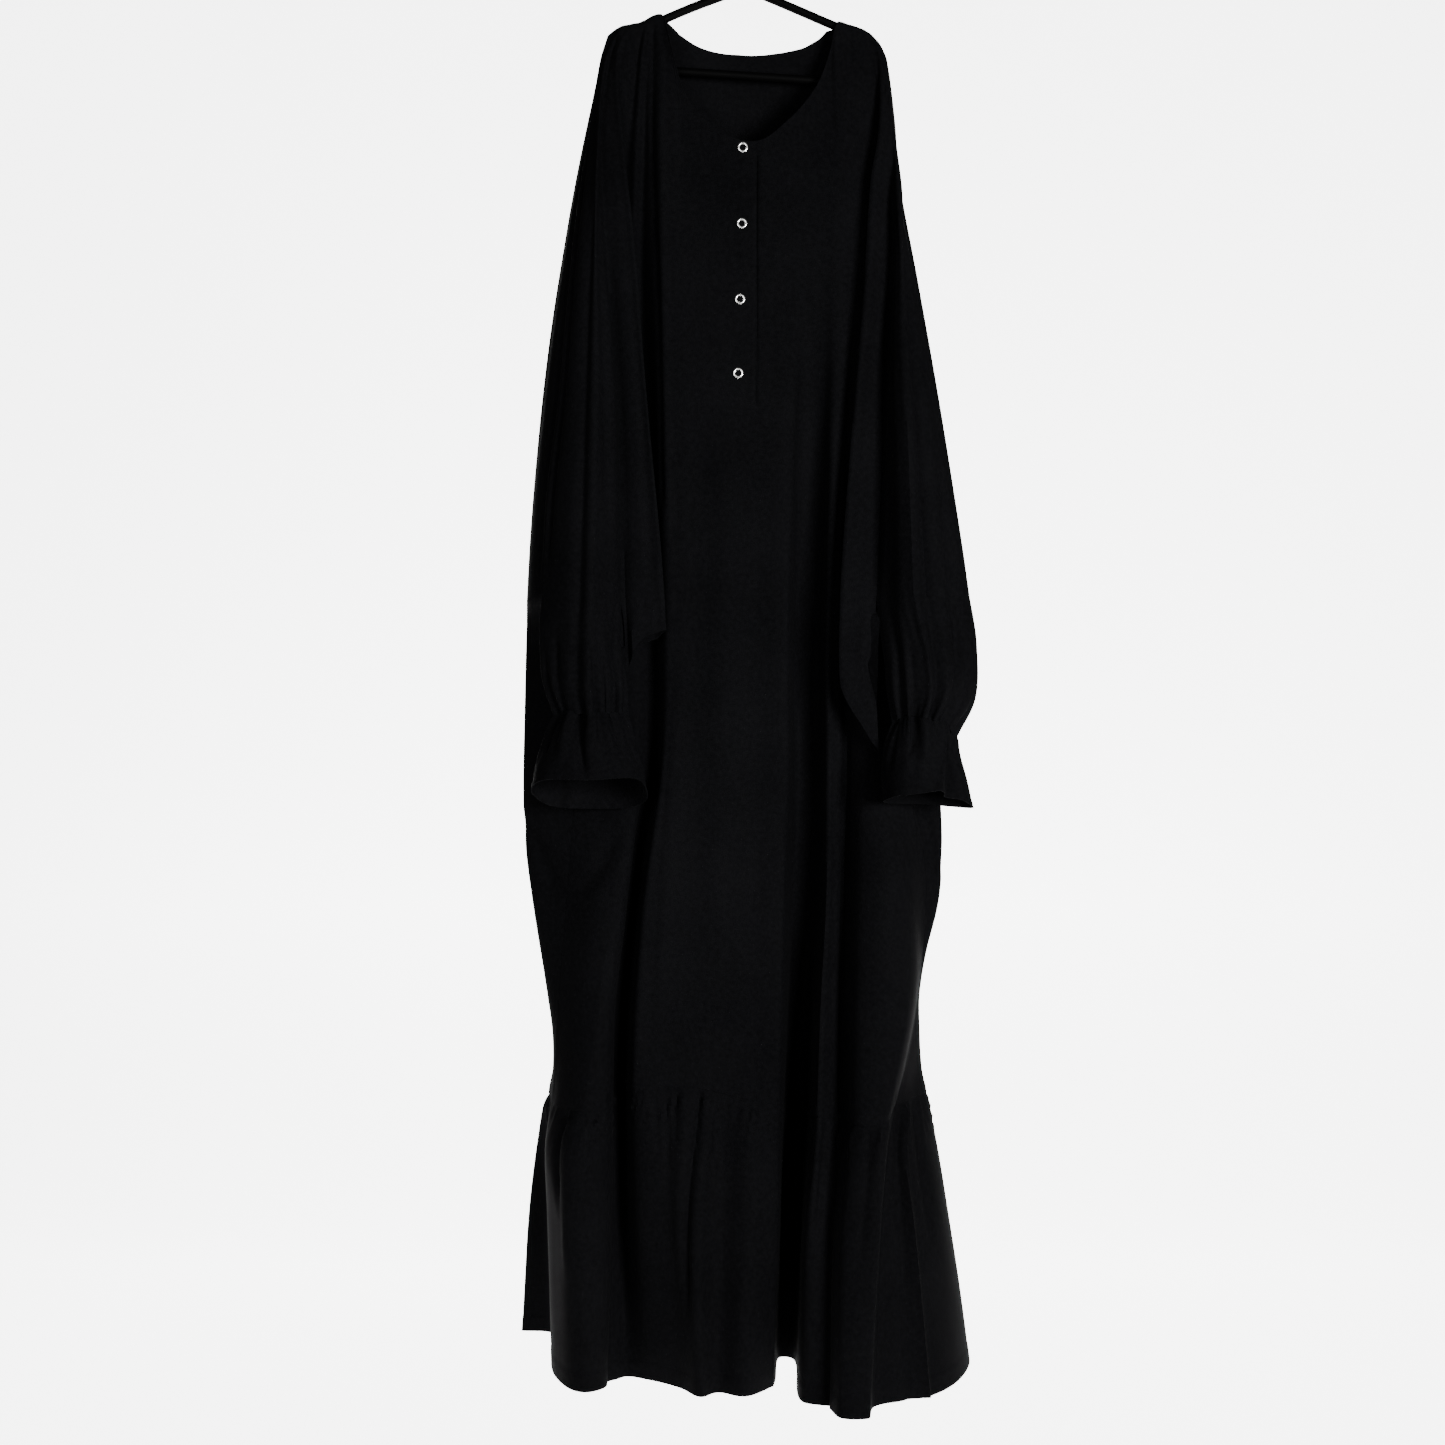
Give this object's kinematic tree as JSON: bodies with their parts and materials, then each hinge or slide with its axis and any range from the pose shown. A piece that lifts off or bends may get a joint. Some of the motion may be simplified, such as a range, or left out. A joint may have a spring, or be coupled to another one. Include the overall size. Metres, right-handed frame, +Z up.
{
  "type": "abaya cloak on a clothes hanger",
  "caption": "Long loose black abaya with batwing sleeves, ruffled cuffs and a gathered hem flounce, hanging on a slim hanger.",
  "frame": {"origin": "where a rail carries the hanger, at the top of the inside of its hook", "axes": "+Z up along the garment, -Y towards the front with the placket, +X to the right as seen from the front"},
  "size_m": [0.5168, 0.3067, 1.6085],
  "materials": {
    "cloth": "matte black crepe, fine grain",
    "snap_metal": "polished silver metal",
    "hanger_plastic": "satin black"
  },
  "bodies": {
    "root": {"front": "cloth", "back": "cloth", "sleeve_left": "cloth", "sleeve_right": "cloth", "cuff_left": "cloth", "cuff_right": "cloth", "flounce_front": "cloth", "flounce_back": "cloth", "placket": "cloth", "snap_1": "snap_metal", "snap_2": "snap_metal", "snap_3": "snap_metal", "snap_4": "snap_metal", "hanger": "hanger_plastic"}
  },
  "joints": []
}
